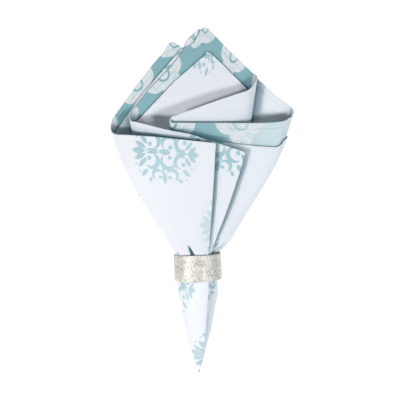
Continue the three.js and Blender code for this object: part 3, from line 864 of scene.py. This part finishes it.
def hammered_silver():
    recipe = Recipe("hammered_silver")
    place = recipe.node("ShaderNodeTexCoord").outputs["Object"]
    side, along, up = recipe.split(place)
    stroke_place = recipe.join(side * 1100 + along * 420, along * 330, up * 1100)
    strokes = recipe.noise(stroke_place, 1.0, 3.0, 0.6)
    dent_place = recipe.vector("MULTIPLY", place, (330, 120, 330))
    dents = recipe.noise(dent_place, 1.0, 2.0, 0.5)
    patina = recipe.noise(place, 120.0, 3.0, 0.6)
    height = strokes * 0.35 + dents * 0.5
    bump = recipe.node("ShaderNodeBump", sockets={"Strength": 0.9, "Distance": 0.0006, "Height": height})
    tone = recipe.step(strokes + (patina - 0.5) * 0.3, 0.3, 0.62)
    base = recipe.blend(tone, SILVER_DARK, SILVER_LIGHT)
    shader = recipe.node("ShaderNodeBsdfPrincipled", sockets={"Metallic": 1.0})
    return recipe.finish(shader, Base_Color=base, Roughness=0.52 + strokes * 0.2, Normal=bump.outputs[0])


# ---- The ring ----
def build_ring():
    """A band turned round its own axis, with rounded rims and a slightly uneven hammered wall."""
    outside, inside, end = RING_OUTSIDE / 2, RING_OUTSIDE / 2 - RING_WALL, RING_HEIGHT / 2
    bm = bmesh.new()
    section = ((inside, -end), (outside, -end), (outside, end), (inside, end))
    corners = [bm.verts.new((r, 0, h)) for r, h in section]
    for a, b in zip(corners, corners[1:] + corners[:1]):
        bm.edges.new((a, b))
    bmesh.ops.bevel(bm, geom=list(bm.verts), offset=RING_ROUND, offset_type="OFFSET",
                    segments=RING_ROUND_STEPS, profile=0.5, affect="VERTICES", material=-1)
    long_edges = [edge for edge in bm.edges if edge.calc_length() > RING_HEIGHT / 2]
    bmesh.ops.subdivide_edges(bm, edges=long_edges, cuts=RING_WALL_CUTS)
    bmesh.ops.spin(bm, geom=[*bm.verts, *bm.edges], cent=(0, 0, 0), axis=(0, 0, 1), angle=2 * math.pi,
                   steps=RING_SIDES, use_merge=True)
    bmesh.ops.remove_doubles(bm, verts=bm.verts, dist=0.001)
    for vertex in bm.verts:
        angle = math.atan2(vertex.co.y, vertex.co.x)
        uneven = 0.07 * math.sin(angle * 5 + 1.2) + 0.05 * math.sin(angle * 11 + vertex.co.z * 0.35)
        radial = Vector((vertex.co.x, vertex.co.y, 0)).normalized()
        vertex.co += radial * uneven * 0.6
        vertex.co.z += 0.16 * math.sin(angle * 3 + 0.7) * vertex.co.z / end
    bmesh.ops.recalc_face_normals(bm, faces=bm.faces)
    lie_down = Matrix.Rotation(math.radians(-90), 4, "X")
    lean = Matrix.Rotation(math.radians(RING_LEAN), 4, "Z")
    move = Matrix.Translation(((RING_X + SHIFT_X) / 1000, (RING_Y + SHIFT_Y) / 1000, RING_AXIS_Z / 1000))
    bmesh.ops.transform(bm, matrix=move @ lean @ lie_down @ Matrix.Scale(0.001, 4), verts=bm.verts)
    for face in bm.faces:
        face.smooth = True
    return add_mesh("silver_ring", bm)


# ---- Table, camera and light ----
TABLE_HALF, TABLE_DROP = 3.0, 0.0003  # metres
WALL_RADIUS, WALL_HEIGHT, WALL_MIDDLE = 2.8, 4.0, 1.9


def set_stage():
    bm = bmesh.new()
    bmesh.ops.create_grid(bm, x_segments=1, y_segments=1, size=TABLE_HALF)
    bmesh.ops.translate(bm, vec=(0, 0, -TABLE_DROP), verts=bm.verts)
    table = add_mesh("table_top", bm)
    recipe = Recipe("pale_table")
    matt = recipe.node("ShaderNodeBsdfDiffuse", sockets={"Color": colour(0.4, 0.4, 0.4)})
    glow = recipe.node("ShaderNodeEmission", sockets={"Color": colour(1, 1, 1), "Strength": 0.85})
    both = recipe.node("ShaderNodeAddShader")
    recipe.fill(both.inputs[0], matt.outputs[0])
    recipe.fill(both.inputs[1], glow.outputs[0])
    table.data.materials.append(recipe.finish(both))

    # A round wall far behind, seen only from the side and giving no light.
    bm = bmesh.new()
    bmesh.ops.create_cone(bm, cap_ends=False, segments=96, radius1=WALL_RADIUS, radius2=WALL_RADIUS,
                          depth=WALL_HEIGHT)
    bmesh.ops.translate(bm, vec=(0, 0, WALL_MIDDLE), verts=bm.verts)
    wall = add_mesh("studio_wall", bm)
    wall.visible_diffuse = wall.visible_glossy = wall.visible_shadow = False
    recipe = Recipe("pale_wall")
    glow = recipe.node("ShaderNodeEmission", sockets={"Color": colour(0.9, 0.92, 0.94), "Strength": 0.95})
    wall.data.materials.append(recipe.finish(glow))


CAMERA_HEIGHT = 650.0                 # over the table
PICTURE_PIXELS = 400
CAMERA_PIXELS = 637.25                # focal length for a picture of that width
LOOKS_AT = (0.0, 174.8)


def set_camera():
    data = bpy.data.cameras.new("camera")
    data.sensor_width = 36.0
    data.lens = CAMERA_PIXELS / PICTURE_PIXELS * data.sensor_width
    data.clip_start = 0.01
    camera = add_object("camera", data)
    camera.location = to_table((*LOOKS_AT, CAMERA_HEIGHT))
    bpy.context.scene.camera = camera


def add_light(name, place, size, power, tint):
    data = bpy.data.lights.new(name, "AREA")
    data.shape = "DISK"
    data.size = size
    data.energy = power
    data.color = tint
    light = add_object(name, data)
    light.location = place
    light.rotation_euler = (-Vector(place)).to_track_quat("-Z", "Y").to_euler()


def set_light():
    add_light("left_lamp", (-0.8, -0.44, 0.95), 0.2, 11.3, (1.0, 0.975, 0.95))
    add_light("right_lamp", (0.85, -0.36, 1.0), 0.25, 9.2, (0.95, 0.985, 1.0))
    add_light("top_lamp", (0.0, 0.25, 1.4), 0.6, 2.4, (0.95, 0.985, 1.0))
    world = bpy.data.worlds.new("studio")
    world.use_nodes = True
    background = world.node_tree.nodes["Background"]
    background.inputs["Color"].default_value = colour(0.62, 0.90, 1.0)
    background.inputs["Strength"].default_value = 0.07
    bpy.context.scene.world = world
    bpy.context.scene.view_settings.view_transform = "Standard"


set_camera()
set_light()
set_stage()

napkin = build_napkin()
napkin.data.materials.append(white_face())
napkin.data.materials.append(blue_face())
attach(napkin, "root")
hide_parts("napkin")

ring = build_ring()
ring.data.materials.append(hammered_silver())
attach(ring, "root")
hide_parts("ring")
